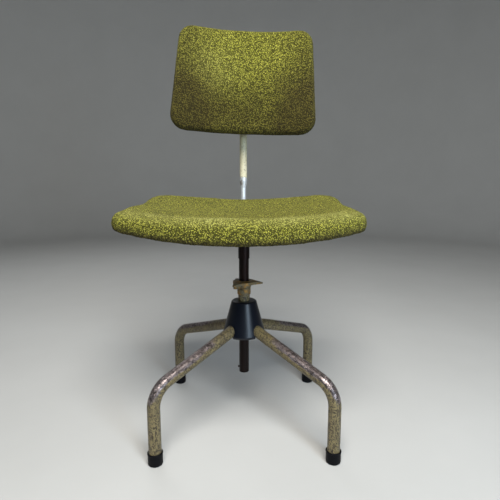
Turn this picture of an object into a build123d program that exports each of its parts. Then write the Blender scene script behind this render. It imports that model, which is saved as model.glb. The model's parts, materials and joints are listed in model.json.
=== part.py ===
from build123d import *
import os

# An upholstered swivel work chair on four bent tube legs. All sizes are in millimetres.
# Z is up, the sitter faces -Y, and left and right are as seen by someone standing in front
# of the chair. Every piece is drawn with the column's axis as Z, and save() then moves it so
# that the origin is on the floor under the middle of the chair's overall box.

# ---------------------------------------------------------------- driving dimensions
# Base
LEG_R = 12.5            # outside radius of the leg tubes
LEG_WALL = 2.0
LEG_ROOT_Z = 228.0      # height where the legs' upper centrelines would meet the column axis
LEG_FALL = 0.322        # drop of the upper run for each millimetre outwards
FOOT_CIRCLE_R = 245.0   # radius of the circle through the four feet
LEG_BEND_R = 48.0
FOOT_R = 14.5           # rubber boot
FOOT_H = 25.0
FOOT_SOLE = 6.0
LEG_ANGLES = {
    "leg_front_left": 225,
    "leg_front_right": 315,
    "leg_rear_right": 45,
    "leg_rear_left": 135,
}

# Socket tube, its cover and its clamp
SOCKET_R = 13.0
SOCKET_LOW = 196.0
SOCKET_TOP = 316.0
COVER_LOW = 201.0
COVER_TOP = 279.0
COVER_LOW_R = 47.6
COVER_TOP_R = 27.5
COVER_WALL = 2.6
COLLAR_R = 15.0
COLLAR_LOW = 293.0
COLLAR_TOP = 309.0
GUIDE_SCREW_ANGLE = -112.0
NUT_LOW = 309.5
NUT_TOP = 324.5
NUT_DISC_R = 24.5
WING_TIP_R = 42.0
WING_ANGLES = (-4.0, 116.0, 236.0)

# Column and the swivel bearing on top of it
COLUMN_R = 11.0
COLUMN_WALL = 2.5
COLUMN_LOW = 111.0
COLUMN_TOP = 417.0
STOP_PIN_Z = 122.0
SLEEVE_R = 12.5
SLEEVE_LOW = 374.0
SLEEVE_SCREW_Z = 397.0
BALL_R = 5.0

# Seat support
PLATE_LOW = 423.0
PLATE_T = 4.0
PLATE_X = 190.0
PLATE_Y = 170.0
SEAT_SCREW_X = 75.0
SEAT_SCREW_Y = 62.0
ARM_W = 32.0
ARM_T = 8.0

# Seat cushion on its moulded shell
SEAT_LEFT = 256.0       # column's axis to the front left corner; the cushion sits off centre
SEAT_RIGHT = 238.0
SEAT_REAR_LEFT = 233.0
SEAT_REAR_RIGHT = 238.0
SEAT_CORNER_Y = -120.0
SEAT_FRONT_Y = -205.0
SEAT_REAR_Y = 188.0
SEAT_FRONT_CORNER_R = 42.0
SEAT_REAR_CORNER_R = 60.0
SEAT_TOP_Z = 470.0      # top of the cushion above the column
SEAT_UNDER_Z = 432.0    # underside of the shell above the column
SEAT_SHELL_T = 9.0
FABRIC = 2.2            # thickness of the looped wool
HEM_W = 34.0            # width of fabric turned in under the shell, from the seat's edge

# Backrest stem
STEM_Y = 222.0
STEM_R = 9.5            # painted upper part
STEM_LOW_R = 7.0        # bare lower part, which slides in the stem socket
STEM_LOW = 355.0
STEM_TOP = 761.0
STEM_STEP_LOW = 523.5
STEM_STEP_TOP = 541.5
STEM_PIN_Z = 361.0
STEM_SOCKET_R = 12.0
STEM_SOCKET_LOW = 410.0
STEM_SOCKET_TOP = 482.0
CLAMP_Z = 446.0         # height of the clamp screw through the stem socket

# Backrest, built upright and then leaned about its pivot
PIVOT_Z = 782.0
BACK_LEAN = 4.0         # degrees
BACK_FRONT_Y = 157.0
BACK_CURVE_R = 400.0    # radius of the hollow front face
BACK_THICK = 36.0
BACK_SHELL_T = 7.6
BACK_LOW = 653.0
BACK_TOP = 894.5
BACK_LOW_HALF_W = 176.0
BACK_TOP_HALF_W = 156.0
BACK_CORNER_R = 34.0
BACK_SCREW_X = 19.0
BACK_SCREW_Z = 32.0     # above and below the pivot

# Fits
RUN = 0.08              # radial clearance of a shaft in its bore
SKIN = 0.1              # gap between pieces that lie against each other

REACH = 600.0           # longer than any piece, for cutting bodies

# Hand knob behind the stem socket, measured back from the stem's axis
KNOB_START = STEM_SOCKET_R + 6.5
KNOB_HUB = 4.0
KNOB_GRIP = 14.0


# ---------------------------------------------------------------- helpers
def rod(radius, low, high):
    """An upright cylinder between two heights."""
    return Pos(0, 0, low) * Cylinder(radius, high - low, align=(Align.CENTER, Align.CENTER, Align.MIN))


def tube(outer, inner, low, high):
    """An upright pipe between two heights."""
    return rod(outer, low, high) - rod(inner, low - 1, high + 1)


def spun(points):
    """A body of revolution about Z from a closed outline of (radius, height) points."""
    return revolve(Plane.XZ * make_face(Polyline(*points, close=True)), Axis.Z)


def lying(shape, along):
    """Turns an upright shape so that its +Z points along +X or +Y."""
    turned = Rot(0, 90, 0) if along == "x" else Rot(-90, 0, 0)
    return turned * shape


def slab(x, y, z, low, corner):
    """A flat plate with rounded corners, standing on the height low."""
    return Pos(0, 0, low) * extrude(RectangleRounded(x, y, corner), amount=z)


def save(name, *shapes):
    """Writes one node. Several shapes become one file of separate solids."""
    solids = [axis_place() * solid for shape in shapes for solid in shape.solids()]
    shape = solids[0] if len(solids) == 1 else Compound(children=solids)
    export_step(shape, "parts/" + name + ".step")


# ---------------------------------------------------------------- base
def leg_height(radius):
    return LEG_ROOT_Z - LEG_FALL * radius


def leg():
    """One leg along +X: a sloping run, a bend and a vertical run down into the boot."""
    root = 6.0
    path = FilletPolyline(
        (root, 0, leg_height(root)),
        (FOOT_CIRCLE_R, 0, leg_height(FOOT_CIRCLE_R)),
        (FOOT_CIRCLE_R, 0, FOOT_SOLE),
        radius=LEG_BEND_R,
    )
    ring = Circle(LEG_R) - Circle(LEG_R - LEG_WALL)
    pipe = sweep(Plane(origin=path @ 0, z_dir=path % 0) * ring, path=path)
    # The four roots are mitred against each other and coped to the socket tube.
    far = 2 * FOOT_CIRCLE_R
    quarter = make_face(Polyline((SKIN, 0), (far, far - SKIN), (far, SKIN - far), close=True))
    return pipe & extrude(quarter, amount=REACH) - rod(SOCKET_R + SKIN, 0, REACH)


def foot():
    """Rubber boot on the end of a leg, with a thick sole and a bead round its mouth."""
    bead_h = 3.0
    body = fillet(rod(FOOT_R, 0, FOOT_H).edges().sort_by(Axis.Z)[0], 3)
    bead = rod(FOOT_R + 0.8, FOOT_H - bead_h, FOOT_H)
    bead = fillet(bead.edges().filter_by(GeomType.CIRCLE), 1.2)
    boot = body + bead - rod(LEG_R, FOOT_SOLE, FOOT_H + 1)
    return Pos(FOOT_CIRCLE_R, 0, 0) * boot


def guide_screw_parts():
    """The round-headed screw through the collar and the socket wall, and the hole for it."""
    reach = COLUMN_R + 0.6
    head_start = COLLAR_R + 0.05
    shank = rod(2.5, reach, head_start)
    head = fillet(rod(6, head_start, head_start + 4.5).edges().sort_by(Axis.Z)[-1], 1.5)
    slot = Pos(0, 0, head_start + 4.5) * Box(12, 1.4, 2.4)
    place = Rot(0, 0, GUIDE_SCREW_ANGLE) * Pos(0, 0, (COLLAR_LOW + COLLAR_TOP) / 2)
    screw = place * lying(shank + head - slot, "x")
    hole = place * lying(rod(2.5, 0, head_start), "x")
    return screw, hole


def socket_tube():
    tube_body = tube(SOCKET_R, COLUMN_R + RUN, SOCKET_LOW, SOCKET_TOP)
    return tube_body - guide_screw_parts()[1]


def neck_collar():
    ring = rod(COLLAR_R, COLLAR_LOW, COLLAR_TOP)
    ring = chamfer(ring.edges().filter_by(GeomType.CIRCLE), 1.0)
    return ring - rod(SOCKET_R, COLLAR_LOW - 1, COLLAR_TOP + 1) - guide_screw_parts()[1]


def hub_cover():
    """Hood over the leg roots. Each leg comes out through a snug hole that is open below."""
    skirt = 4.0             # height of the turned-in lower edge
    turn_in = 2.6
    outer = spun([
        (0, COVER_TOP), (COVER_TOP_R, COVER_TOP), (COVER_LOW_R, COVER_LOW + skirt),
        (COVER_LOW_R - turn_in, COVER_LOW), (0, COVER_LOW),
    ])
    ceiling = COVER_TOP - COVER_WALL
    inner = spun([
        (0, ceiling), (COVER_TOP_R - 2, ceiling), (COVER_LOW_R - COVER_WALL - 0.6, COVER_LOW + skirt),
        (COVER_LOW_R - COVER_WALL - 2, COVER_LOW - 1), (0, COVER_LOW - 1),
    ])
    body = fillet(outer.edges().filter_by(GeomType.CIRCLE).sort_by(Axis.Z)[-1], 5)
    body = fillet(body.edges().filter_by(GeomType.CIRCLE).sort_by(Axis.Z)[1], 4)
    body -= inner + rod(SOCKET_R + 0.4, COVER_LOW, COVER_TOP + 1)
    root = Plane(origin=(0, 0, leg_height(0)), z_dir=(1, 0, -LEG_FALL))
    hole = extrude(root * Circle(LEG_R + 0.7), amount=2 * COVER_LOW_R)
    mouth_w = 21.0          # narrower than the tube, so that the hood snaps over it
    mouth_top = leg_height(COVER_LOW_R)
    mouth = Pos(COVER_LOW_R, 0, mouth_top - 20) * Box(2 * COVER_LOW_R, mouth_w, 40)
    for angle in LEG_ANGLES.values():
        body -= Rot(0, 0, angle) * (hole + mouth)
    return body


def collet():
    """Slit clamping cone that the nut squeezes onto the column."""
    low, high = SOCKET_TOP + 0.3, NUT_TOP - 2.5
    bore = COLUMN_R + 0.07
    ring = spun([(bore, low), (12.7, low), (11.75, high), (bore, high)])
    slit = Pos(0, 12, (low + high) / 2) * Box(1.4, 20, 20)
    return ring - slit


def nut_wing():
    """Plan of one wing along +X, from the nut's disc to its blunt point."""
    edge = [(12, 15), (20, 13), (WING_TIP_R, 1.4)]
    return make_face(Polyline(*edge, *[(x, -y) for x, y in reversed(edge)], close=True))


def clamp_nut():
    """Cast hand nut with three pointed wings and a thumb rib under the front left one."""
    plan = Circle(NUT_DISC_R)
    for angle in WING_ANGLES:
        plan += Rot(0, 0, angle) * nut_wing()
    under = NUT_TOP - 8
    past_tip = WING_TIP_R + 1
    lens = spun([
        (0, NUT_TOP), (17, NUT_TOP), (NUT_DISC_R, NUT_TOP - 2), (past_tip, NUT_TOP - 5),
        (past_tip, under + 0.5), (NUT_DISC_R, under), (0, under),
    ])
    body = extrude(plan, amount=REACH) & lens
    thumb = Rot(0, 0, WING_ANGLES[2]) * Pos(27, 0, under - 2) * Box(20, 10, 6)
    body += fillet(thumb.edges().filter_by(Axis.Z), 4)
    body += rod(COLLAR_R + 0.8, NUT_LOW, NUT_TOP - 1)
    thread_r = SOCKET_R + 0.05
    cone_top = NUT_TOP - 2
    bore = spun([
        (0, NUT_LOW - 1), (thread_r, NUT_LOW - 1), (thread_r, SOCKET_TOP), (12.05, cone_top), (0, cone_top),
    ])
    return body - bore - rod(COLUMN_R + 0.4, NUT_LOW, NUT_TOP + 1)


# ---------------------------------------------------------------- column and swivel
def stop_pin():
    """Cross pin that stops the column at its highest place. Its head stands out on the left."""
    return Pos(0, 0, STOP_PIN_Z) * lying(rod(2.0, -COLUMN_R - 3, COLUMN_R), "x")


def column():
    body = tube(COLUMN_R, COLUMN_R - COLUMN_WALL, COLUMN_LOW, COLUMN_TOP)
    groove = tube(COLUMN_R + 1, COLUMN_R - 1.2, SLEEVE_SCREW_Z - 3.5, SLEEVE_SCREW_Z + 3.5)
    return body - groove - stop_pin()


def thrust_ball():
    return Pos(0, 0, PLATE_LOW - 0.3 - BALL_R) * Sphere(BALL_R)


def column_plug():
    """Hardened plug in the column's top, hollowed for the ball that carries the seat."""
    return rod(COLUMN_R - COLUMN_WALL, COLUMN_TOP - 18, COLUMN_TOP) - thrust_ball()


def sleeve_screw():
    """Grub screw whose tip runs in the column's groove and keeps the seat on."""
    screw = rod(3.0, COLUMN_R - 0.8, SLEEVE_R + 4.5)
    socket = Pos(0, 0, SLEEVE_R + 3) * extrude(RegularPolygon(1.5, 6), amount=3)
    return Pos(0, 0, SLEEVE_SCREW_Z) * lying(screw - socket, "y")


def seat_sleeve():
    body = rod(SLEEVE_R, SLEEVE_LOW, PLATE_LOW)
    boss = fillet(rod(6.5, 8, SLEEVE_R + 4).edges().sort_by(Axis.Z)[-1], 1)
    body += Pos(0, 0, SLEEVE_SCREW_Z) * lying(boss, "y")
    body -= rod(COLUMN_R + RUN, SLEEVE_LOW - 1, PLATE_LOW + 1)
    return body - Pos(0, 0, SLEEVE_SCREW_Z) * lying(rod(3.0, 0, 40), "y")


# ---------------------------------------------------------------- seat support
SEAT_SCREWS = [(x, y) for x in (-SEAT_SCREW_X, SEAT_SCREW_X) for y in (-SEAT_SCREW_Y, SEAT_SCREW_Y)]
ARM_BOLTS = [(0, 34), (0, 68)]
SPACER_TOP = PLATE_LOW + PLATE_T + 6.2
ARM_TOP = PLATE_LOW - SKIN


def seat_plate():
    """Steel plate with turned-down sides, which carries the cushion and the back arm."""
    body = slab(PLATE_X, PLATE_Y, PLATE_T, PLATE_LOW, 16)
    for side in (-1, 1):
        lip = Pos(side * (PLATE_X / 2 - 1.5), 0, PLATE_LOW - 3) * Box(3, PLATE_Y - 34, 10)
        body += fillet(lip.edges().filter_by(Axis.X), 3)
    for x, y in SEAT_SCREWS:
        body -= Pos(x, y, 0) * rod(2.7, PLATE_LOW - 1, PLATE_LOW + PLATE_T + 1)
    for x, y in ARM_BOLTS:
        body -= Pos(x, y, 0) * rod(4.0, PLATE_LOW - 1, PLATE_LOW + PLATE_T + 1)
    return body


def seat_spacers():
    ring = tube(10, 2.7, PLATE_LOW + PLATE_T + 0.05, SPACER_TOP)
    return [Pos(x, y, 0) * ring for x, y in SEAT_SCREWS]


def seat_screws():
    """Pan-head wood screws, driven up through plate and spacers into the shell."""
    head = fillet(rod(5, PLATE_LOW - 3, PLATE_LOW).edges().sort_by(Axis.Z)[0], 1.8)
    cross = Pos(0, 0, PLATE_LOW - 3) * (Box(5, 1, 2.4) + Box(1, 5, 2.4))
    screw = head + rod(2.5, PLATE_LOW, PLATE_LOW + 16) - cross
    return [Pos(x, y, 0) * screw for x, y in SEAT_SCREWS]


def back_arm():
    """Flat bar bolted under the plate, which reaches back to the stem socket."""
    start = 18.0
    length = STEM_Y - start
    bar = Pos(0, start + length / 2, ARM_TOP - ARM_T / 2) * Box(ARM_W, length, ARM_T)
    bar = fillet(bar.edges().filter_by(Axis.Z).sort_by(Axis.Y)[:2], 6)
    bar -= Pos(0, STEM_Y, 0) * rod(STEM_SOCKET_R + SKIN, 0, REACH)
    for x, y in ARM_BOLTS:
        bar -= Pos(x, y, 0) * rod(4.2, 0, REACH)
    return bar.solids().sort_by(Axis.Y)[0]


def arm_bolts():
    low = ARM_TOP - ARM_T
    head = Pos(0, 0, low - 5.3 - 0.05) * extrude(RegularPolygon(7.5, 6), amount=5.3)
    bolt = head + rod(4.0, low - 0.05, PLATE_LOW + PLATE_T)
    return [Pos(x, y, 0) * bolt for x, y in ARM_BOLTS]


def stem_socket():
    body = rod(STEM_SOCKET_R, STEM_SOCKET_LOW, STEM_SOCKET_TOP)
    body = fillet(body.edges().filter_by(GeomType.CIRCLE), 1.5)
    boss = rod(8.5, 6, STEM_SOCKET_R + 5)
    boss = fillet(boss.edges().sort_by(Axis.Z)[-1], 1.5)
    body += Pos(0, 0, CLAMP_Z) * lying(boss, "y")
    body -= rod(STEM_LOW_R + RUN, STEM_SOCKET_LOW - 1, STEM_SOCKET_TOP + 1)
    body -= Pos(0, 0, CLAMP_Z) * lying(rod(4.05, 0, 40), "y")
    return Pos(0, STEM_Y, 0) * body


def clamp_stud():
    stud = rod(4.0, STEM_LOW_R + 0.35, STEM_SOCKET_R + 16)
    return Pos(0, STEM_Y, CLAMP_Z) * lying(stud, "y")


def clamp_knob():
    """Five-lobed hand knob moulded on the end of the stud."""
    plan = Circle(12.5)
    for lobe in range(5):
        plan += Rot(0, 0, 72 * lobe + 18) * Pos(11.5, 0) * Circle(5.5)
    grip = Pos(0, 0, KNOB_START + KNOB_HUB) * extrude(plan, amount=KNOB_GRIP)
    grip = fillet(grip.faces().sort_by(Axis.Z)[-1].edges(), 1.8)
    hub = rod(8, KNOB_START, KNOB_START + KNOB_HUB + 1)
    knob = grip + hub - rod(4.0, KNOB_START - 1, STEM_SOCKET_R + 16)
    return Pos(0, STEM_Y, CLAMP_Z) * lying(knob, "y")


# ---------------------------------------------------------------- seat cushion
SEAT_HALF_W = (SEAT_LEFT + SEAT_RIGHT) / 2
SEAT_MID_X = (SEAT_RIGHT - SEAT_LEFT) / 2


def seat_top(x, y):
    """Height of the cushion's top: sides and rear rise, and the front corners dip."""
    side = (abs(x) / SEAT_HALF_W) ** 1.6
    rear = (max(0.0, y) / SEAT_REAR_Y) ** 2
    front = (max(0.0, -y) / -SEAT_FRONT_Y) ** 2
    return SEAT_TOP_Z + 20 * side + 28 * rear + 2 * side * rear + front * (5 - 26 * side)


def seat_under(x, y):
    """Height of the shell's underside."""
    side = (x / SEAT_HALF_W) ** 2
    rear = (max(0.0, y) / SEAT_REAR_Y) ** 2
    return SEAT_UNDER_Z + 19 * side + 26 * rear


def sheet(height, lift):
    """A smooth sheet larger than the seat, whose height follows a function of x and y."""
    count, half_x, half_y = 13, 275.0, 245.0
    xs = [half_x * (2 * i / (count - 1) - 1) for i in range(count)]
    ys = [half_y * (2 * j / (count - 1) - 1) for j in range(count)]
    grid = [[Vector(x, y, height(x, y) + lift) for y in ys] for x in xs]
    return Face.make_surface_from_array_of_points(grid, tol=0.2, min_deg=3, max_deg=5)


def above(height, lift):
    return extrude(sheet(height, lift), amount=200, dir=(0, 0, 1))


def below(height, lift):
    return extrude(sheet(height, lift), amount=-200, dir=(0, 0, 1))


def seat_prism(inset):
    """The seat's plan, with its bowed front edge, as a tall block."""
    left, right = (-SEAT_LEFT, SEAT_CORNER_Y), (SEAT_RIGHT, SEAT_CORNER_Y)
    front = ThreePointArc(left, (SEAT_MID_X, SEAT_FRONT_Y), right)
    rest = Polyline(right, (SEAT_REAR_RIGHT, SEAT_REAR_Y), (-SEAT_REAR_LEFT, SEAT_REAR_Y), left)
    plan = make_face([front, rest])
    corners = plan.vertices().sort_by(Axis.Y)
    plan = fillet(corners[:2], SEAT_FRONT_CORNER_R)
    rear = plan.vertices().sort_by(Axis.Y)[-2:]
    plan = fillet(rear, SEAT_REAR_CORNER_R)
    if inset:
        plan = offset(plan, -inset)
    return Pos(0, 0, 300) * extrude(plan, amount=300)


def crowned(inset, low_lift, high_lift, edge_r):
    """The seat's plan between its underside and its top, with the top edge rounded."""
    body = seat_prism(inset) & above(seat_under, low_lift) & below(seat_top, high_lift)
    top = body.faces().filter_by(GeomType.BSPLINE).sort_by(Axis.Z)[-1]
    return fillet(top.edges(), edge_r)


def seat_staples():
    """Wire staples that hold the fabric's hem to the shell, in one row round the underside."""
    row = []
    for x, y, angle in staple_places():
        level = seat_under(x, y) - FABRIC
        crown = Pos(0, 0, level - 0.4) * Box(10, 1.2, 0.8)
        legs = [Pos(side * 4.4, 0, level + 2.6) * Box(1.2, 1.2, 6) for side in (-1, 1)]
        row.append(Pos(x, y, 0) * Rot(0, 0, angle) * (crown + legs[0] + legs[1]))
    return row


def staple_places():
    """Places on the hem as (x, y, direction in degrees), about 20 mm in from the seat's edge."""
    edge_in = 20.0
    bow = SEAT_CORNER_Y - SEAT_FRONT_Y
    places = [(x, SEAT_REAR_Y - edge_in, 0) for x in range(-150, 151, 50)]
    for x in range(-175, 176, 50):
        off_middle = (x - SEAT_MID_X) / SEAT_HALF_W
        places.append((x, SEAT_FRONT_Y + edge_in + 4 + bow * off_middle ** 2, 10 * off_middle))
    for y in range(-75, 126, 50):
        back = (y - SEAT_CORNER_Y) / (SEAT_REAR_Y - SEAT_CORNER_Y)
        places.append((edge_in - SEAT_LEFT - back * (SEAT_REAR_LEFT - SEAT_LEFT), y, 90))
        places.append((SEAT_RIGHT + back * (SEAT_REAR_RIGHT - SEAT_RIGHT) - edge_in, y, 90))
    return places


def seat_shell():
    body = seat_prism(6) & above(seat_under, 0) & below(seat_under, SEAT_SHELL_T)
    for x, y in SEAT_SCREWS:
        body -= Pos(x, y, 0) * rod(2.5, PLATE_LOW, PLATE_LOW + 16)
    for staple in seat_staples():
        body -= staple
    return body


def seat_foam():
    return crowned(FABRIC + 0.2, SEAT_SHELL_T + 0.3, -FABRIC - 0.2, 15)


def seat_cover():
    """The fabric: over the top, down the sides and turned in under the shell."""
    body = crowned(0, -FABRIC, 0, 17)
    body -= crowned(FABRIC, -0.1, -FABRIC, 15)
    body -= seat_prism(HEM_W) & below(seat_under, 1)
    for staple in seat_staples():
        body -= staple
    return body


# ---------------------------------------------------------------- backrest stem
def stem_profile(wall):
    low_r, top_r = STEM_LOW_R - wall, STEM_R - wall
    return [
        (0, STEM_LOW), (low_r, STEM_LOW), (low_r, STEM_STEP_LOW),
        (top_r, STEM_STEP_TOP), (top_r, STEM_TOP), (0, STEM_TOP),
    ]


def stem_stop_pin():
    return Pos(0, STEM_Y, STEM_PIN_Z) * lying(rod(2.0, -11, 11), "x")


def back_stem():
    """Tube drawn down to a thinner lower part that slides in the stem socket."""
    body = Pos(0, STEM_Y, 0) * (spun(stem_profile(0)) - spun(stem_profile(2.0)))
    return body - stem_stop_pin()


def stem_eye():
    """Forged eye in the stem's top, which the backrest pivots on."""
    eye = lying(rod(10, -6, 6), "x")
    tongue = Pos(0, 0, (STEM_TOP - PIVOT_Z) / 2) * Box(12, 19, PIVOT_Z - STEM_TOP)
    shank = rod(STEM_R - 2.0, STEM_TOP - PIVOT_Z - 20, STEM_TOP - PIVOT_Z)
    bore = lying(rod(4.0 + RUN, -20, 20), "x")
    return Pos(0, STEM_Y, PIVOT_Z) * (eye + tongue + shank - bore)


# ---------------------------------------------------------------- backrest
def leaned(shape):
    """Tips a backrest piece back about the pivot."""
    return Pos(0, STEM_Y, PIVOT_Z) * Rot(-BACK_LEAN, 0, 0) * Pos(0, -STEM_Y, -PIVOT_Z) * shape


def back_layer(inset, front, rear):
    """The backrest's outline between two depths behind its hollow front face."""
    plan = make_face(Polyline(
        (-BACK_LOW_HALF_W, BACK_LOW),
        (BACK_LOW_HALF_W, BACK_LOW),
        (BACK_TOP_HALF_W, BACK_TOP),
        (-BACK_TOP_HALF_W, BACK_TOP),
        close=True,
    ))
    plan = fillet(plan.vertices(), BACK_CORNER_R)
    if inset:
        plan = offset(plan, -inset)
    block = extrude(Plane.XZ * plan, amount=-REACH)
    shaft = tube(BACK_CURVE_R + rear, BACK_CURVE_R + front, 0, 1000)
    return block & Pos(0, BACK_FRONT_Y - BACK_CURVE_R, 0) * shaft


def rounded_layer(inset, front, rear, edge_r):
    """A backrest layer whose front and rear edges are rounded."""
    body = back_layer(inset, front, rear)
    for face in (0, -1):
        curved = body.faces().filter_by(GeomType.CYLINDER).sort_by(SortBy.AREA)[-2:].sort_by(Axis.Y)
        body = fillet(curved[face].edges(), edge_r)
    return body


BACK_SCREWS = [
    (side * BACK_SCREW_X, PIVOT_Z + end * BACK_SCREW_Z) for side in (-1, 1) for end in (-1, 1)
]
BRACKET_Y = BACK_FRONT_Y + BACK_THICK + 0.4
BRACKET_T = 3.0
CHEEK_OUT = 10.7        # outer face of each cheek, from the middle
NUT_START_Y = BACK_FRONT_Y + BACK_THICK - FABRIC - BACK_SHELL_T


def at_back_screws(shape):
    return [Pos(x, 0, z) * shape for x, z in BACK_SCREWS]


def back_tee_nuts():
    """Nuts let into the front of the shell, one behind each bracket screw."""
    start = NUT_START_Y + 0.2
    nut = tube(3.6, 2.5, start, start + 6) + tube(8, 2.5, start, start + 1.2)
    return at_back_screws(lying(nut, "y"))


def back_screws():
    head_y = BRACKET_Y + BRACKET_T
    head = fillet(rod(4.8, head_y, head_y + 3.2).edges().sort_by(Axis.Z)[-1], 1.6)
    cross = Pos(0, 0, head_y + 3.2) * (Box(5, 1, 2.4) + Box(1, 5, 2.4))
    screw = rod(2.5, NUT_START_Y + 1, head_y) + head - cross
    return at_back_screws(lying(screw, "y"))


def without(body, cutters):
    for cutter in cutters:
        body -= cutter
    return body


def back_shell():
    body = back_layer(8.5, BACK_THICK - FABRIC - BACK_SHELL_T, BACK_THICK - FABRIC - 0.2)
    solid_nut = rod(3.6, NUT_START_Y, NUT_START_Y + 6.2) + rod(8, NUT_START_Y - 2, NUT_START_Y + 1.4)
    body = without(body, at_back_screws(lying(solid_nut, "y")))
    return without(body, at_back_screws(lying(rod(2.6, 0, REACH), "y")))


def back_foam():
    body = back_layer(FABRIC + 0.3, FABRIC + 0.2, BACK_THICK - FABRIC - BACK_SHELL_T - 0.3)
    broad = body.faces().filter_by(GeomType.CYLINDER).sort_by(SortBy.AREA)[-2:]
    return fillet(broad.sort_by(Axis.Y)[0].edges(), 9)


def back_cover():
    """Fabric bag drawn over the foam and the shell."""
    body = rounded_layer(0, 0, BACK_THICK, 8)
    body -= rounded_layer(FABRIC, FABRIC, BACK_THICK - FABRIC, 6)
    return without(body, at_back_screws(lying(rod(2.7, BACK_FRONT_Y + BACK_THICK / 2, REACH), "y")))


def hinge_bracket():
    """Steel plate behind the backrest with two cheeks that straddle the stem's eye."""
    base = slab(56, 84, BRACKET_T, 0, 8)
    body = Pos(0, BRACKET_Y + BRACKET_T, PIVOT_Z) * Rot(90, 0, 0) * base
    depth = STEM_Y - BRACKET_Y - BRACKET_T
    tip_r, root_half_h = 12, 24
    web = make_face(Polyline(
        (-depth, -root_half_h), (-depth, root_half_h), (0, tip_r), (0, -tip_r), close=True,
    ))
    cheek = extrude(Plane.YZ * (web + Circle(tip_r)), amount=BRACKET_T)
    for start in (-CHEEK_OUT, CHEEK_OUT - BRACKET_T):
        body += Pos(start, STEM_Y, PIVOT_Z) * cheek
    body -= Pos(0, STEM_Y, PIVOT_Z) * lying(rod(4.05, -30, 30), "x")
    return without(body, at_back_screws(lying(rod(2.7, 0, REACH), "y")))


def pivot_bolt():
    head = Pos(0, 0, -CHEEK_OUT - 5.4) * extrude(RegularPolygon(7.5, 6), amount=5.3)
    return Pos(0, STEM_Y, PIVOT_Z) * lying(head + rod(4.0, -CHEEK_OUT - 0.1, CHEEK_OUT + 9), "x")


def pivot_nut():
    nut = Pos(0, 0, CHEEK_OUT + 0.1) * extrude(RegularPolygon(7.5, 6), amount=7.5)
    nut = nut - rod(4.0, 0, 40)
    return Pos(0, STEM_Y, PIVOT_Z) * lying(nut, "x")


def pivot_washers():
    """Friction washers between the eye and the bracket's cheeks."""
    return [Pos(0, STEM_Y, PIVOT_Z) * lying(tube(8.5, 4.05, low, low + 1.5), "x") for low in (-7.6, 6.1)]


# ---------------------------------------------------------------- write every node
def axis_place():
    """Puts the origin under the middle of the overall box, from the seat's edges to the knob's end."""
    seat = seat_prism(0).bounding_box()
    knob_end = STEM_Y + KNOB_START + KNOB_HUB + KNOB_GRIP
    return Pos(-(seat.min.X + seat.max.X) / 2, -(seat.min.Y + knob_end) / 2, 0)


def main():
    os.makedirs("parts", exist_ok=True)
    one_leg, one_foot = leg(), foot()
    for name, angle in LEG_ANGLES.items():
        save(name, Rot(0, 0, angle) * one_leg)
        save(name.replace("leg", "foot"), Rot(0, 0, angle) * one_foot)
    save("socket_tube", socket_tube())
    save("hub_cover", hub_cover())
    save("neck_collar", neck_collar())
    save("guide_screw", guide_screw_parts()[0])
    save("collet", collet())
    save("clamp_nut", clamp_nut())
    save("column", column())
    save("stop_pin", stop_pin())
    save("column_plug", column_plug())
    save("thrust_ball", thrust_ball())
    save("seat_sleeve", seat_sleeve())
    save("sleeve_screw", sleeve_screw())
    save("seat_plate", seat_plate())
    save("seat_spacers", *seat_spacers())
    save("seat_screws", *seat_screws())
    save("back_arm", back_arm())
    save("arm_bolts", *arm_bolts())
    save("seat_shell", seat_shell())
    save("seat_foam", seat_foam())
    save("seat_cover", seat_cover())
    save("seat_staples", *seat_staples())
    save("stem_socket", stem_socket())
    save("clamp_stud", clamp_stud())
    save("clamp_knob", clamp_knob())
    save("back_stem", back_stem())
    save("stem_stop_pin", stem_stop_pin())
    save("stem_eye", stem_eye())
    save("hinge_bracket", leaned(hinge_bracket()))
    save("pivot_bolt", leaned(pivot_bolt()))
    save("pivot_nut", leaned(pivot_nut()))
    save("pivot_washers", *[leaned(washer) for washer in pivot_washers()])
    save("back_screws", *[leaned(screw) for screw in back_screws()])
    save("back_tee_nuts", *[leaned(nut) for nut in back_tee_nuts()])
    save("back_shell", leaned(back_shell()))
    save("back_foam", leaned(back_foam()))
    save("back_cover", leaned(back_cover()))


main()
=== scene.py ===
import json
import math

import bpy
import numpy as np
from mathutils import Matrix, Vector, geometry, noise


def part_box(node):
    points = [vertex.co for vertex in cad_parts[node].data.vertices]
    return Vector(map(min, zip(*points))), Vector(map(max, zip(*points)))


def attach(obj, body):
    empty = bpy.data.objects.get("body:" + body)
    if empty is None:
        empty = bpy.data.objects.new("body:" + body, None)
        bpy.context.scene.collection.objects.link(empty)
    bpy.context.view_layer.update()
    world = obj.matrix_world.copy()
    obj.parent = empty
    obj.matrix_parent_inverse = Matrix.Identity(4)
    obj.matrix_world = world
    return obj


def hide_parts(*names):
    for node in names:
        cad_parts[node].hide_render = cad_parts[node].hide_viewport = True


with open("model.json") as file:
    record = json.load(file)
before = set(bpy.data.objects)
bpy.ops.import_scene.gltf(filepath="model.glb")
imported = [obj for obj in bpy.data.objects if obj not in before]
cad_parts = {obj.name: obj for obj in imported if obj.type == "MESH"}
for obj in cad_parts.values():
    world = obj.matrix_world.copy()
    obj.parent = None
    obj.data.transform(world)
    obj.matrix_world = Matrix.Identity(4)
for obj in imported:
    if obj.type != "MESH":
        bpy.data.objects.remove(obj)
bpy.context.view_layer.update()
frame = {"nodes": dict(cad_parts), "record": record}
nodes = frame["nodes"]

# ---------------------------------------------------------------- driving values, in metres
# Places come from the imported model. The column's axis is the chair's own centre line.
column_low, column_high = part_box("column")
AXIS = (column_low + column_high) / 2
STEM_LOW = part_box("back_stem")[0]
PIVOT = sum(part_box("pivot_bolt"), Vector()) / 2

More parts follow.
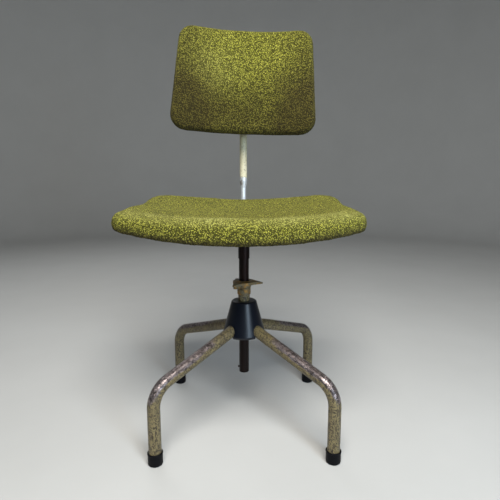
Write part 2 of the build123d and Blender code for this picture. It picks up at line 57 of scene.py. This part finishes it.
# The camera stands in front of the chair, a little to one side, and looks slightly down.
CAMERA_AHEAD = 0.9447       # from the column's axis
CAMERA_SIDE = -0.0035
CAMERA_HEIGHT = 0.5452
CAMERA_PITCH = 9.2          # degrees below the horizon
CAMERA_YAW = 1.03           # degrees turned to the right
CAMERA_LENS = 31.3          # millimetres on a 36 mm sensor

SEAT_VOXEL = 0.0044         # size of the seat cushion's mesh, before it is divided once
BACK_VOXEL = 0.0031
SEAT_WOOL = 0.0030          # thickness of the wool over the foam
BACK_WOOL = 0.0028
SEAT_PUFF = 0.0020          # how far the stuffing may swell the top of the seat
BACK_PUFF = 0.0075          # and the middle of the backrest's front
HEM_WIDTH = 0.033           # wool turned in under the seat's shell
HEM_DEPTH = 0.0052          # how far the skin is drawn up inside the hem
SEAM_INSET = 0.0085         # the backrest's closing seam, from its edge
BACK_ROLL = 2.3             # degrees that the backrest's cushion hangs crooked
BACK_ROLL_CENTRE = 0.08     # below the pivot
STEM_PAINT_FROM = 0.197     # lower edge of the stem's paint, above the stem's end

LOOP = 0.0024               # width of one wool loop
LOOP_STRETCH = 2.5          # its length over its width
LOOP_GAP = 0.40             # a loop's height where it comes out of the dark ground
LOOP_TOP = 0.80             # and where it has its full colour


# ---------------------------------------------------------------- material helpers
class Graph:
    """A node material being built. Each method adds a node and returns the socket it gives."""

    def __init__(self, name):
        self.material = bpy.data.materials.new(name)
        self.material.use_nodes = True
        self.tree = self.material.node_tree
        self.shader = self.tree.nodes["Principled BSDF"]

    def node(self, kind, **settings):
        made = self.tree.nodes.new(kind)
        for key, value in settings.items():
            setattr(made, key, value)
        return made

    def put(self, socket, value):
        """Links a socket to a value, or sets it if the value is a plain number or colour."""
        if isinstance(value, bpy.types.NodeSocket):
            self.tree.links.new(value, socket)
        elif isinstance(value, tuple) and len(value) == 3 and socket.type == "RGBA":
            socket.default_value = (*value, 1)
        else:
            socket.default_value = value

    def set(self, **values):
        """Sets or links the shader's own sockets; underscores stand for spaces."""
        for key, value in values.items():
            self.put(self.shader.inputs[key.replace("_", " ")], value)

    def place(self, stretch=(1, 1, 1)):
        """A point of the object's own space, stretched."""
        made = self.node("ShaderNodeMapping")
        made.inputs["Scale"].default_value = stretch
        self.put(made.inputs["Vector"], self.node("ShaderNodeTexCoord").outputs["Object"])
        return made.outputs[0]

    def noise(self, scale, detail=3.0, rough=0.55, at=None, twist=0.0):
        """Cloudy noise from 0 to 1, with that many features in a metre."""
        made = self.node("ShaderNodeTexNoise")
        self.put(made.inputs["Vector"], at or self.place())
        made.inputs["Scale"].default_value = scale
        made.inputs["Detail"].default_value = detail
        made.inputs["Roughness"].default_value = rough
        made.inputs["Distortion"].default_value = twist
        return made.outputs["Fac"]

    def cells(self, scale, at=None, out="Distance"):
        """Distance from the middle of the nearest cell, or that cell's own random colour."""
        made = self.node("ShaderNodeTexVoronoi")
        self.put(made.inputs["Vector"], at or self.place())
        made.inputs["Scale"].default_value = scale
        return made.outputs[out]

    def math(self, how, a, b):
        made = self.node("ShaderNodeMath", operation=how)
        self.put(made.inputs[0], a)
        self.put(made.inputs[1], b)
        return made.outputs[0]

    def band(self, value, low, high):
        """0 below low and 1 above high, with a smooth rise between them."""
        made = self.node("ShaderNodeMapRange", interpolation_type="SMOOTHSTEP")
        self.put(made.inputs["Value"], value)
        made.inputs["From Min"].default_value = low
        made.inputs["From Max"].default_value = high
        return made.outputs["Result"]

    def spread(self, value, low, high):
        """A 0 to 1 value as a value from low to high."""
        made = self.node("ShaderNodeMapRange")
        self.put(made.inputs["Value"], value)
        made.inputs["To Min"].default_value = low
        made.inputs["To Max"].default_value = high
        return made.outputs["Result"]

    def mix(self, fac, a, b, how="MIX"):
        """Colour a where fac is 0 and colour b where it is 1."""
        made = self.node("ShaderNodeMix", data_type="RGBA", blend_type=how)
        self.put(made.inputs[0], fac)
        self.put(made.inputs[6], a)
        self.put(made.inputs[7], b)
        return made.outputs[2]

    def axis(self, letter):
        """One coordinate of a point of the object's own space."""
        made = self.node("ShaderNodeSeparateXYZ")
        self.put(made.inputs[0], self.node("ShaderNodeTexCoord").outputs["Object"])
        return made.outputs[letter]

    def facing_up(self):
        """1 where the surface faces up, -1 where it faces down."""
        made = self.node("ShaderNodeSeparateXYZ")
        self.put(made.inputs[0], self.node("ShaderNodeNewGeometry").outputs["Normal"])
        return made.outputs["Z"]

    def from_axis(self):
        """Distance from the column's axis."""
        across = self.node("ShaderNodeVectorMath", operation="SUBTRACT")
        self.put(across.inputs[0], self.place((1, 1, 0)))
        across.inputs[1].default_value = (AXIS.x, AXIS.y, 0)
        made = self.node("ShaderNodeVectorMath", operation="LENGTH")
        self.put(made.inputs[0], across.outputs[0])
        return made.outputs["Value"]

    def grey(self, value):
        made = self.node("ShaderNodeCombineColor")
        for socket in made.inputs:
            self.put(socket, value)
        return made.outputs[0]

    def attribute(self, name):
        return self.node("ShaderNodeAttribute", attribute_name=name).outputs["Fac"]

    def bump(self, height, distance, strength, under=None):
        """A bump that deep in metres, over another one if it is given."""
        made = self.node("ShaderNodeBump")
        made.inputs["Strength"].default_value = strength
        made.inputs["Distance"].default_value = distance
        self.put(made.inputs["Height"], height)
        if under is not None:
            self.put(made.inputs["Normal"], under)
        return made.outputs[0]


# ---------------------------------------------------------------- materials
def loops(g, turn, space):
    """Long loops that lean one way: their height, 1 at the middle, and three random tints each."""
    lean = g.node("ShaderNodeMapping", vector_type="TEXTURE")
    g.put(lean.inputs["Vector"], space)
    lean.inputs["Rotation"].default_value = turn
    lean.inputs["Scale"].default_value = (1, 1, LOOP_STRETCH)
    height = g.spread(g.cells(1 / LOOP, lean.outputs[0]), 1.0, -0.3)
    tint = g.node("ShaderNodeSeparateColor")
    g.put(tint.inputs[0], g.cells(1 / LOOP, lean.outputs[0], out="Color"))
    return height, tint.outputs


def unruly(g, scale, reach):
    """The object's own space, shifted a little here and there so that no row of loops is straight."""
    drift = g.node("ShaderNodeTexNoise")
    g.put(drift.inputs["Vector"], g.place())
    drift.inputs["Scale"].default_value = scale
    shift = g.node("ShaderNodeVectorMath", operation="SCALE")
    g.put(shift.inputs[0], drift.outputs["Color"])
    shift.inputs["Scale"].default_value = reach
    shifted = g.node("ShaderNodeVectorMath", operation="ADD")
    g.put(shifted.inputs[0], g.place())
    g.put(shifted.inputs[1], shift.outputs[0])
    return shifted.outputs[0]


def wool(name):
    """Looped wool: chartreuse loops over a dark ground, paler with wear and a painted highlight, browner
    and darker with dirt and painted shade.
    """
    g = Graph(name)
    space = unruly(g, 170, 0.0035)
    left, left_tint = loops(g, (0.5, 0.75, 0), space)
    right, right_tint = loops(g, (0.5, -0.75, 0), space)
    over = g.band(g.math("SUBTRACT", right, left), -0.04, 0.04)
    loop = g.math("MAXIMUM", left, right)
    tint = g.math("MULTIPLY", left_tint[0], g.spread(over, 1, 0))
    tint = g.math("ADD", tint, g.math("MULTIPLY", right_tint[0], over))
    curl = g.noise(900, 3, 0.65, space, 1.0)
    clump = g.noise(130, 3, 0.6)
    cloud = g.noise(14, 3, 0.6)
    # Marks stored on the cushion: one for wear, which on the seat's crest is also a painted highlight,
    # and one for dirt together with painted shade.
    wear_and_highlight = g.attribute("wear_and_highlight")
    dirt_and_shade = g.attribute("dirt_and_shade")
    loop = g.math("ADD", loop, g.spread(curl, -0.16, 0.16))
    loop = g.math("ADD", loop, g.spread(clump, -0.15, 0.15))
    crown = g.band(loop, LOOP_GAP, LOOP_TOP)
    bright = g.math("MULTIPLY", g.spread(tint, 0.72, 1.30), g.spread(cloud, 0.80, 1.20))
    yarn = g.mix(left_tint[1], (0.39, 0.385, 0.038), (0.52, 0.50, 0.088))
    # Paler yarn with wear, and as a painted highlight on the seat's crest.
    yarn = g.mix(wear_and_highlight, yarn, g.mix(left_tint[2], (0.52, 0.51, 0.140), (0.68, 0.67, 0.25)))
    # Darker brown yarn for dirt and for painted shade.
    yarn = g.mix(dirt_and_shade, yarn, (0.122, 0.100, 0.018))
    yarn = g.mix(1.0, yarn, g.grey(bright), "MULTIPLY")
    ground = g.mix(wear_and_highlight, (0.056, 0.054, 0.007), (0.18, 0.175, 0.036))
    # Dark ground for dirt and for painted shade.
    ground = g.mix(dirt_and_shade, ground, (0.020, 0.015, 0.004))
    g.set(Base_Color=g.mix(crown, ground, yarn), Roughness=0.92, Specular_IOR_Level=0.15)
    g.set(Sheen_Weight=0.12, Sheen_Roughness=0.5, Sheen_Tint=(0.75, 0.72, 0.25, 1))
    fine = g.bump(curl, 0.0008, 0.8)
    g.set(Normal=g.bump(loop, 0.0026, 1.0, fine))
    return g.material


def enamel(name, paint, steel, rubbed_from, flecked):
    """Old stove enamel: mottled and flecked with brown, and rubbed through on top to dark steel."""
    g = Graph(name)
    cloud = g.noise(34, 5, 0.65)
    grain = g.noise(420, 4, 0.75)
    pits = g.band(g.noise(310, 3, 0.75, twist=0.5), 0.495, 0.535)
    runs = g.band(g.noise(170, 4, 0.75, g.place((1, 1, 0.25))), 0.52, 0.60)
    shade = g.mix(cloud, tuple(0.72 * c for c in paint), tuple(1.22 * c for c in paint))
    shade = g.mix(g.band(grain, 0.40, 0.66), shade, tuple(0.80 * c for c in paint))
    pits = g.math("MULTIPLY", pits, g.band(cloud, 0.22, 0.46))
    marks = g.math("MAXIMUM", pits, g.math("MULTIPLY", runs, 0.65))
    shade = g.mix(g.math("MULTIPLY", marks, flecked), shade, (0.022, 0.014, 0.008))
    # Feet and knees rub the tops of the tubes, most of all near the bends.
    out = g.band(g.from_axis(), 0.06, 0.17)
    exposed = g.math("MULTIPLY", g.band(g.facing_up(), -0.25, 0.60), g.spread(out, 0.55, 1.0))
    rubbed = g.math("ADD", g.math("MULTIPLY", exposed, 0.50), g.math("MULTIPLY", cloud, 0.55))
    rubbed = g.math("ADD", rubbed, g.spread(grain, -0.09, 0.09))
    bare = g.band(rubbed, rubbed_from, rubbed_from + 0.10)
    metal = g.mix(g.band(g.noise(140, 4, 0.7), 0.40, 0.62), steel, tuple(0.28 * c for c in steel))
    g.set(Base_Color=g.mix(bare, shade, metal), Metallic=g.spread(bare, 0.0, 0.85))
    g.set(Roughness=g.math("SUBTRACT", g.spread(grain, 0.30, 0.52), g.math("MULTIPLY", bare, 0.12)))
    relief = g.math("SUBTRACT", g.math("MULTIPLY", grain, 0.4), g.math("MULTIPLY", marks, 0.6))
    relief = g.math("SUBTRACT", relief, g.math("MULTIPLY", bare, 0.5))
    g.set(Normal=g.bump(relief, 0.0005, 0.8))
    return g.material


def frame_paint():
    return enamel("frame_paint", (0.205, 0.164, 0.074), (0.26, 0.215, 0.212), 0.57, 0.97)


def bracket_paint():
    return enamel("bracket_paint", (0.21, 0.187, 0.105), (0.24, 0.20, 0.19), 0.80, 0.7)


def stem_paint():
    """Cream-khaki enamel above a ragged line, and rubbed steel below it."""
    g = Graph("stem_paint")
    line = STEM_LOW.z + STEM_PAINT_FROM
    cloud = g.noise(40, 4, 0.6)
    grain = g.noise(420, 3, 0.65)
    edge = g.math("ADD", g.axis("Z"), g.spread(g.noise(110, 4, 0.7), -0.016, 0.016))
    painted = g.band(edge, line - 0.0015, line + 0.0015)
    flecks = g.band(g.noise(260, 4, 0.7), 0.57, 0.63)
    paint = g.mix(cloud, (0.48, 0.44, 0.28), (0.66, 0.62, 0.47))
    paint = g.mix(g.math("MULTIPLY", flecks, 0.75), paint, (0.10, 0.075, 0.045))
    draw = g.noise(300, 2, 0.5, g.place((1, 1, 0.04)))
    steel = g.mix(draw, (0.50, 0.53, 0.57), (0.80, 0.83, 0.87))
    steel = g.mix(g.band(cloud, 0.56, 0.68), steel, (0.30, 0.28, 0.27))
    g.set(Base_Color=g.mix(painted, steel, paint))
    g.set(Metallic=g.spread(painted, 0.65, 0.0))
    g.set(Roughness=g.mix(painted, g.spread(draw, 0.38, 0.55), g.spread(grain, 0.40, 0.60)))
    g.set(Normal=g.bump(g.math("ADD", g.math("MULTIPLY", grain, 0.3), painted), 0.0003, 0.6))
    return g.material


def drawn_steel(name, low, high, rough_low, rough_high, rust=None):
    """Bare tube with fine lines along it and cloudy staining."""
    g = Graph(name)
    draw = g.noise(420, 3, 0.6, g.place((1, 1, 0.03)))
    cloud = g.noise(45, 4, 0.62, g.place((1, 1, 0.5)))
    base = g.mix(draw, low, high)
    if rust is not None:
        base = g.mix(g.band(cloud, 0.46, 0.66), base, rust)
    g.set(Base_Color=base, Metallic=0.9)
    both = g.math("ADD", g.math("MULTIPLY", draw, 0.5), g.math("MULTIPLY", cloud, 0.5))
    g.set(Roughness=g.spread(both, rough_low, rough_high))
    g.set(Normal=g.bump(g.math("ADD", draw, cloud), 0.00015, 0.5))
    return g.material


def column_steel():
    dark, light, rust = (0.005, 0.004, 0.004), (0.018, 0.012, 0.011), (0.012, 0.005, 0.004)
    return drawn_steel("column_steel", dark, light, 0.3, 0.55, rust)


def bright_steel():
    return drawn_steel("bright_steel", (0.38, 0.385, 0.40), (0.62, 0.62, 0.63), 0.2, 0.42)


def clamp_brass():
    """Brassy casting with what is left of khaki paint in its hollows."""
    g = Graph("clamp_brass")
    cloud = g.noise(70, 4, 0.62)
    grain = g.noise(600, 3, 0.65)
    patchy = g.math("ADD", g.math("MULTIPLY", cloud, 0.7), g.math("MULTIPLY", grain, 0.3))
    left = g.band(patchy, 0.44, 0.52)
    brass = g.mix(grain, (0.17, 0.085, 0.016), (0.33, 0.19, 0.050))
    paint = g.mix(cloud, (0.050, 0.038, 0.018), (0.130, 0.105, 0.052))
    g.set(Base_Color=g.mix(left, brass, paint))
    g.set(Metallic=g.spread(left, 0.65, 0.05), Roughness=g.spread(grain, 0.36, 0.58))
    g.set(Normal=g.bump(g.math("ADD", grain, g.math("MULTIPLY", left, 0.6)), 0.0004, 0.6))
    return g.material


def zinc_fixings():
    g = Graph("zinc_fixings")
    spangle = g.cells(900)
    dull = g.noise(150, 3, 0.6)
    g.set(Base_Color=g.mix(dull, (0.30, 0.30, 0.29), (0.52, 0.52, 0.50)), Metallic=0.85)
    g.set(Roughness=g.spread(dull, 0.30, 0.55), Normal=g.bump(spangle, 0.0001, 0.4))
    return g.material


def moulded(name, base, rough, grain_scale, depth, gloss=0.5):
    """Moulded plastic or rubber: fine grain, and a few scuffs that lighten and dull it."""
    g = Graph(name)
    grain = g.noise(grain_scale, 3, 0.6)
    scuff = g.band(g.noise(35, 5, 0.7, g.place((1, 1, 3))), 0.60, 0.72)
    g.set(Base_Color=g.mix(g.math("MULTIPLY", scuff, 0.5), base, tuple(c + 0.010 for c in base)))
    grainy = g.spread(grain, rough - 0.06, rough + 0.06)
    g.set(Roughness=g.math("ADD", grainy, g.math("MULTIPLY", scuff, 0.12)))
    g.set(Normal=g.bump(grain, depth, 0.5), Specular_IOR_Level=gloss)
    return g.material


def cover_plastic():
    return moulded("cover_plastic", (0.001, 0.0025, 0.007), 0.34, 700, 0.00015, 0.30)


def boot_rubber():
    return moulded("boot_rubber", (0.003, 0.003, 0.004), 0.50, 500, 0.0003, 0.10)


def spacer_rubber():
    return moulded("spacer_rubber", (0.016, 0.016, 0.016), 0.7, 600, 0.0003)


def knob_plastic():
    return moulded("knob_plastic", (0.012, 0.011, 0.012), 0.28, 500, 0.0001)


def plywood():
    """Varnished beech: long soft grain with short dark flecks along it."""
    g = Graph("plywood")
    ring = g.noise(70, 4, 0.6, g.place((1, 0.06, 1)), 0.4)
    fleck = g.band(g.noise(900, 2, 0.6, g.place((1, 0.12, 1))), 0.60, 0.70)
    base = g.mix(ring, (0.30, 0.17, 0.075), (0.48, 0.30, 0.15))
    base = g.mix(g.math("MULTIPLY", fleck, 0.5), base, (0.17, 0.085, 0.035))
    g.set(Base_Color=base, Roughness=g.spread(ring, 0.32, 0.46))
    g.set(Normal=g.bump(ring, 0.0002, 0.5), Coat_Weight=0.25, Coat_Roughness=0.25)
    return g.material


def foam():
    g = Graph("foam")
    pores = g.cells(700)
    g.set(Base_Color=g.mix(pores, (0.45, 0.36, 0.18), (0.62, 0.52, 0.30)), Roughness=0.95)
    g.set(Normal=g.bump(pores, 0.0008, 0.8))
    return g.material


def seat_wool():
    return wool("seat_wool")


def back_wool():
    return wool("back_wool")


def make_materials():
    """One material for each slot of the record, by the slot's own function."""
    makers = (
        frame_paint, bracket_paint, stem_paint, column_steel, bright_steel, clamp_brass, zinc_fixings,
        cover_plastic, boot_rubber, spacer_rubber, knob_plastic, plywood, foam, seat_wool, back_wool,
    )
    return {maker.__name__: maker() for maker in makers}


# ---------------------------------------------------------------- mesh helpers
def read(mesh):
    found = np.empty(len(mesh.vertices) * 3)
    mesh.vertices.foreach_get("co", found)
    return found.reshape(-1, 3)


def read_normals(mesh):
    found = np.empty(len(mesh.vertices) * 3)
    mesh.vertex_normals.foreach_get("vector", found)
    return found.reshape(-1, 3)


def write(mesh, points):
    mesh.vertices.foreach_set("co", points.ravel())
    mesh.update()


def push(points, normals, amount):
    """The points moved along their normals, each by its own amount."""
    return points + normals * amount[:, None]


def step(value, low, high):
    """Smooth 0 to 1 between low and high, for numpy arrays."""
    t = np.clip((value - low) / (high - low), 0, 1)
    return t * t * (3 - 2 * t)


def bell(value, middle, width):
    """1 at the middle, falling to 0 over about two widths."""
    return np.exp(-(((value - middle) / width) ** 2))


def baked(obj):
    """Replaces an object's mesh by the one its modifiers give."""
    evaluated = obj.evaluated_get(bpy.context.evaluated_depsgraph_get())
    mesh = bpy.data.meshes.new_from_object(evaluated)
    obj.modifiers.clear()
    old = obj.data
    obj.data = mesh
    bpy.data.meshes.remove(old)
    mesh.name = obj.name


def solid_from(name, sources, voxel):
    """One closed evenly divided skin round copies of some CAD solids."""
    points, faces = [], []
    for source in sources:
        mesh = nodes[source].data
        start = len(points)
        points += [tuple(v.co) for v in mesh.vertices]
        faces += [[start + i for i in p.vertices] for p in mesh.polygons]
    mesh = bpy.data.meshes.new(name)
    mesh.from_pydata(points, [], faces)
    mesh.validate()
    obj = bpy.data.objects.new(name, mesh)
    bpy.context.scene.collection.objects.link(obj)
    remesh = obj.modifiers.new("remesh", "REMESH")
    remesh.mode = "VOXEL"
    remesh.voxel_size = voxel
    baked(obj)
    return obj


def smooth(obj, rounds):
    relax = obj.modifiers.new("relax", "SMOOTH")
    relax.iterations = rounds
    relax.factor = 0.5
    baked(obj)


def shade_smooth(mesh):
    for polygon in mesh.polygons:
        polygon.use_smooth = True


def divide(obj):
    """Splits every face in four and shades the result smooth."""
    finer = obj.modifiers.new("finer", "SUBSURF")
    finer.levels = 1
    baked(obj)
    shade_smooth(obj.data)


def blow_up(obj, pressure, frames):
    """Runs the skin as cloth with air pressure inside it, and keeps the mesh of the last frame."""
    cloth = obj.modifiers.new("cloth", "CLOTH")
    cloth.settings.quality = 5
    cloth.settings.mass = 0.3
    cloth.settings.tension_stiffness = 15
    cloth.settings.compression_stiffness = 15
    cloth.settings.shear_stiffness = 5
    cloth.settings.bending_stiffness = 0.5
    cloth.settings.use_pressure = True
    cloth.settings.uniform_pressure_force = pressure
    cloth.settings.effector_weights.gravity = 0
    cloth.collision_settings.use_collision = False
    cloth.point_cache.frame_start = 1
    cloth.point_cache.frame_end = frames
    for frame_number in range(1, frames + 1):
        bpy.context.scene.frame_set(frame_number)
    baked(obj)
    bpy.context.scene.frame_set(1)


def puff(obj, cover, cap):
    """Lays a cover of that thickness over a skin and blows it up as cloth.

    The shell and the foam hold the skin from inside, so no point moves inwards, and none moves
    outwards further than its cap.
    """
    normals = read_normals(obj.data)
    rest = push(read(obj.data), normals, cover)
    write(obj.data, rest)
    blow_up(obj, pressure=4.0, frames=20)
    outward = np.maximum(((read(obj.data) - rest) * normals).sum(axis=1), 0)
    write(obj.data, push(rest, normals, cap * np.tanh(outward / cap)))


def ripple(points, size, seed):
    """Smooth noise from -1 to 1 at each point, with features of that size."""
    offset = Vector((seed * 17.3, seed * 5.1, seed * 9.7))
    return np.array([noise.noise(Vector(p) / size + offset) for p in points])


def pile(points, normals, depth, seed):
    """Small rounded loops standing out of the cloth."""
    offset = Vector((seed, seed * 2, seed * 3))
    height = np.empty(len(points))
    for i, p in enumerate(points):
        near = noise.voronoi(Vector(p) / LOOP + offset)[0]
        height[i] = near[1] - near[0]
    return push(points, normals, np.clip(height, 0, 0.7) * depth)


def paint_on(mesh, name, values):
    """Stores one number at each point, for the material to read."""
    made = mesh.attributes.new(name, "FLOAT", "POINT")
    made.data.foreach_set("value", np.clip(values, 0, 1).astype(np.float32))


def outline(node, drop):
    """Convex outline of a CAD node, seen along the axis with that index."""
    kept = [i for i in range(3) if i != drop]
    flat = np.unique(np.round(read(nodes[node].data)[:, kept], 6), axis=0)
    ring = geometry.convex_hull_2d([Vector(p) for p in flat])
    return flat[ring]


def from_edge(flat, ring):
    """Distance of each flat point inside a convex ring from the ring, and the way inwards."""
    along = np.roll(ring, -1, axis=0) - ring
    length = np.linalg.norm(along, axis=1)
    ring, along = ring[length > 1e-6], along[length > 1e-6]
    inward = np.stack((-along[:, 1], along[:, 0]), axis=1)
    inward /= np.linalg.norm(inward, axis=1)[:, None]
    if ((ring.mean(axis=0) - ring) * inward).sum() < 0:
        inward = -inward
    distance = flat @ inward.T - (ring * inward).sum(axis=1)
    nearest = distance.argmin(axis=1)
    return distance[np.arange(len(flat)), nearest], inward[nearest]


# ---------------------------------------------------------------- seat cushion
def seat_hem(points, normals, ring):
    """Lays the wool under the shell as a hem, and draws the rest of the skin up inside the shell.

    It moves the points themselves, and says which of them are inside the hem.
    """
    under = normals[:, 2] < -0.6
    distance, inward = from_edge(points[:, :2], ring)
    edge = HEM_WIDTH + 0.0012 * ripple(points, 0.03, 8)
    reach = 0.0013
    near = under & (np.abs(distance - edge) < reach)
    points[near, :2] += inward[near] * (edge - distance)[near, None]
    inside = under & (distance > edge + reach)
    points[inside, 2] += HEM_DEPTH
    return inside


def seat_wear_and_painted_light(mesh, points, normals, inset, inside):
    """Paler along the front roll's crest, most at three places (wear and a painted highlight); darker
    below (painted shade) with patches of dirt.
    """
    x = points[:, 0] - AXIS.x
    # Painted highlight together with wear: a band along the crest, where the surface faces up.
    crest = bell(inset, 0.028, 0.026) * step(normals[:, 2], 0.1, 0.7)
    crest *= step(-points[:, 1] + AXIS.y, 0.05, 0.12)
    patches = 0.55 + 0.6 * bell(x, -0.055, 0.05) + 0.5 * bell(x, 0.085, 0.04)
    patches += 0.5 * bell(x, 0.18, 0.03)
    wear_and_highlight = crest * patches + 0.35 * step(ripple(points, 0.05, 5), 0.1, 0.6) * crest
    # Painted shade where the surface faces down, and a little random dirt.
    dirt_and_shade = 1.05 * step(-normals[:, 2], -0.32, 0.52) + 0.2 * step(ripple(points, 0.06, 6), 0.2, 0.7)
    paint_on(mesh, "wear_and_highlight", wear_and_highlight * (0.7 + 0.5 * ripple(points, 0.012, 7)))
    # The skin drawn up inside the shell gets the full painted shade.
    paint_on(mesh, "dirt_and_shade", np.where(inside, 1.0, dirt_and_shade))


def seat_cushion():
    """The seat's foam and wool as one crowned form, hollowed underneath so that the shell shows."""
    obj = solid_from("seat_cushion", ("seat_foam", "seat_shell"), SEAT_VOXEL)
    smooth(obj, rounds=5)
    ring = outline("seat_cover", 2)
    up = read_normals(obj.data)[:, 2]
    # The wool bulges over the shell's lower edge, and lies thinner under it.
    cover = SEAT_WOOL + 0.0030 * bell(up, -0.6, 0.35) - 0.0008 * step(-up, 0.7, 0.95)
    puff(obj, cover, 0.0005 + SEAT_PUFF * step(up, 0.2, 0.8))
    divide(obj)
    mesh = obj.data
    points = read(mesh)
    normals = read_normals(mesh)
    under = step(-normals[:, 2], 0.3, 0.8)
    inset = from_edge(points[:, :2], ring)[0]
    # Long soft unevenness of the stuffing, and the loops.
    points = push(points, normals, (1 - under) * 0.0010 * ripple(points, 0.07, 3))
    inside = seat_hem(points, normals, ring)
    points = pile(points, normals, depth=0.0011, seed=1)
    write(mesh, points)
    seat_wear_and_painted_light(mesh, points, normals, inset, inside)
    return obj


# ---------------------------------------------------------------- back cushion
def back_wear_dirt_and_shade(mesh, points, normals):
    """Darker at the sides and the bottom, partly dirt and partly painted shade, and a little paler with
    wear to the left of the middle.
    """
    x = points[:, 0] - PIVOT.x
    z = points[:, 2] - PIVOT.z
    # Painted shade together with dirt: darker towards the bottom and the sides, plus random dirt patches.
    dirt_and_shade = 0.95 * step(-z + 0.20 * np.abs(x), -0.06, 0.11) + 0.6 * step(np.abs(x), 0.04, 0.16)
    dirt_and_shade += 0.15 * step(ripple(points, 0.05, 9), 0.1, 0.6)
    wear_and_highlight = 0.4 * bell(x, -0.085, 0.06) * bell(z, 0.01, 0.06) * step(-normals[:, 1], 0.3, 0.8)
    paint_on(mesh, "wear_and_highlight", wear_and_highlight * (0.7 + 0.6 * ripple(points, 0.012, 7)))
    paint_on(mesh, "dirt_and_shade", dirt_and_shade * 0.85)


def hang_crooked(mesh):
    """Turns the cushion a little about a point below its pivot."""
    centre = Vector((PIVOT.x, PIVOT.y, PIVOT.z - BACK_ROLL_CENTRE))
    roll = Matrix.Rotation(math.radians(BACK_ROLL), 4, "Y")
    mesh.transform(Matrix.Translation(centre) @ roll @ Matrix.Translation(-centre))
    mesh.update()


def back_cushion():
    """The backrest's foam and shell in their wool bag, with the seam that closes it behind."""
    obj = solid_from("back_cushion", ("back_foam", "back_shell"), BACK_VOXEL)
    smooth(obj, rounds=5)
    ring = outline("back_cover", 1)
    inset = from_edge(read(obj.data)[:, (0, 2)], ring)[0]
    ahead = step(-read_normals(obj.data)[:, 1], 0.3, 0.8)
    cover = np.full(len(inset), BACK_WOOL)
    puff(obj, cover, 0.0005 + BACK_PUFF * ahead * step(inset, 0.0, 0.11))
    divide(obj)
    mesh = obj.data
    points = read(mesh)
    normals = read_normals(mesh)
    inset = from_edge(points[:, (0, 2)], ring)[0]
    points = push(points, normals, 0.0009 * ripple(points, 0.06, 4))
    # The closing seam runs round the rear edge as a narrow groove with a low lip on its inner side.
    behind = step(normals[:, 1], 0.2, 0.5)
    groove = bell(inset, SEAM_INSET, 0.0016) - 0.5 * bell(inset, SEAM_INSET + 0.0040, 0.002)
    points = push(points, normals, -0.0016 * behind * groove)
    points = pile(points, normals, depth=0.0010, seed=2)
    write(mesh, points)
    back_wear_dirt_and_shade(mesh, points, normals)
    hang_crooked(mesh)
    return obj


# ---------------------------------------------------------------- stage
def make_stage():
    """A pale round floor that curves up into a wall all round, so every view has a plain ground."""
    floor_r, bend, top, steps, around = 3.4, 1.0, 5.0, 12, 96
    profile = [(0.0, 0.0), (1.5, 0.0)]
    for i in range(steps + 1):
        angle = math.pi / 2 * i / steps
        profile.append((floor_r + bend * math.sin(angle), bend * (1 - math.cos(angle))))
    profile.append((floor_r + bend, top))
    points = [(0, 0, 0)]
    for radius, z in profile[1:]:
        for k in range(around):
            angle = 2 * math.pi * k / around
            points.append((radius * math.cos(angle), radius * math.sin(angle), z))
    faces = [(0, 1 + k, 1 + (k + 1) % around) for k in range(around)]
    for i in range(len(profile) - 2):
        for k in range(around):
            a = 1 + i * around + k
            b = 1 + i * around + (k + 1) % around
            faces.append((a, a + around, b + around, b))
    mesh = bpy.data.meshes.new("floor")
    mesh.from_pydata(points, [], faces)
    shade_smooth(mesh)
    floor = bpy.data.objects.new("floor", mesh)
    bpy.context.scene.collection.objects.link(floor)
    g = Graph("floor")
    cloud = g.noise(3.0, 5, 0.6)
    g.set(Base_Color=g.mix(cloud, (0.44, 0.44, 0.43), (0.50, 0.50, 0.49)), Roughness=0.8)
    g.set(Normal=g.bump(g.noise(180, 4, 0.6), 0.0006, 0.3))
    mesh.materials.append(g.material)


def lamp(name, place, aim, size, power, colour):
    """A soft rectangular light, with its power in watts."""
    light = bpy.data.lights.new(name, "AREA")
    light.shape = "RECTANGLE"
    light.size, light.size_y = size
    light.energy = power
    light.color = colour
    obj = bpy.data.objects.new(name, light)
    obj.location = place
    obj.rotation_mode = "QUATERNION"
    obj.rotation_quaternion = (Vector(aim) - Vector(place)).to_track_quat("-Z", "Y")
    bpy.context.scene.collection.objects.link(obj)


def make_lights():
    world = bpy.data.worlds.new("studio")
    bpy.context.scene.world = world
    world.use_nodes = True
    sky = world.node_tree.nodes["Background"]
    sky.inputs["Color"].default_value = (0.85, 0.92, 1.0, 1)
    sky.inputs["Strength"].default_value = 0.12
    lamp("key", (0.10, -1.20, 1.95), (0, 0.05, 0.55), size=(1.1, 1.0), power=69, colour=(1.0, 0.98, 0.93))
    lamp("strip", (1.00, -1.80, 0.80), (0, 0, 0.35), size=(0.5, 1.0), power=27, colour=(0.66, 0.83, 1.0))
    lamp("rear", (-0.9, 1.7, 2.0), (0, 0.1, 0.5), size=(1.4, 0.8), power=14, colour=(0.95, 0.98, 1.0))


def make_camera():
    data = bpy.data.cameras.new("camera")
    data.sensor_width = 36
    data.lens = CAMERA_LENS
    camera = bpy.data.objects.new("camera", data)
    camera.location = (AXIS.x + CAMERA_SIDE, AXIS.y - CAMERA_AHEAD, CAMERA_HEIGHT)
    camera.rotation_euler = (math.radians(90 - CAMERA_PITCH), 0, -math.radians(CAMERA_YAW))
    bpy.context.scene.collection.objects.link(camera)
    bpy.context.scene.camera = camera


# ---------------------------------------------------------------- put together
materials = make_materials()
for entry in frame["record"]["subparts"]:
    shown = nodes[entry["node"]].data
    shown.materials.clear()
    shown.materials.append(materials[entry["material_slot"]])

seat = seat_cushion()
seat.data.materials.append(materials["seat_wool"])
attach(seat, "seat")
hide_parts("seat_cover", "seat_foam")

back = back_cushion()
back.data.materials.append(materials["back_wool"])
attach(back, "backrest")
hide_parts("back_cover", "back_foam", "back_shell")

make_stage()
make_lights()
make_camera()
bpy.context.scene.view_settings.view_transform = "Standard"
